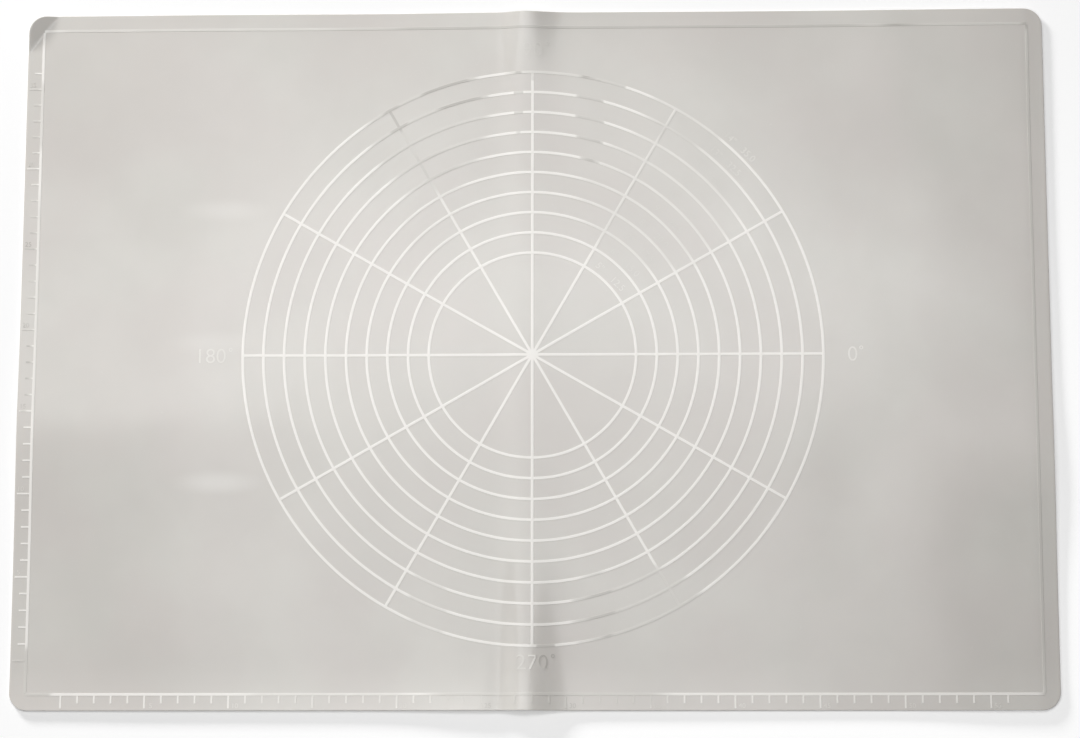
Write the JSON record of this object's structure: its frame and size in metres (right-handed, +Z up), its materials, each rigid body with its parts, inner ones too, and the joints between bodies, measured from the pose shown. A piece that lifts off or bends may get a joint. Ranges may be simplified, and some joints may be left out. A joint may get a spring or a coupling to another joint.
{
  "type": "silicone baking mat",
  "caption": "Thin flexible baking mat with rounded corners, printed measuring rings, angle spokes, frame line and centimetre rulers; folds over along its middle ridge.",
  "frame": {"origin": "middle of the mat's underside, on the surface it rests on", "axes": "+X along the mat, from the side ruler's end to the other end; +Y across the mat, away from the bottom ruler; +Z up, out of the printed face"},
  "size_m": [0.622, 0.426, 0.0071],
  "materials": {
    "silicone": "satin, slightly translucent silicone",
    "print": "satin silicone ink"
  },
  "bodies": {
    "left_half": {"mat_left": "silicone", "frame_line_left": "print", "measuring_rings_left": "print", "angle_spokes_left": "print", "bottom_ruler_left": "print", "side_ruler_left": "print"},
    "right_half": {"mat_right": "silicone", "frame_line_right": "print", "measuring_rings_right": "print", "angle_spokes_right": "print", "bottom_ruler_right": "print"}
  },
  "joints": [
    {"name": "fold", "type": "hinge", "parent": "left_half", "child": "right_half", "pos_m": [-0.0015, 0, 0.00731], "axis": [0, -1, 0], "range_deg": [0, 179]}
  ]
}
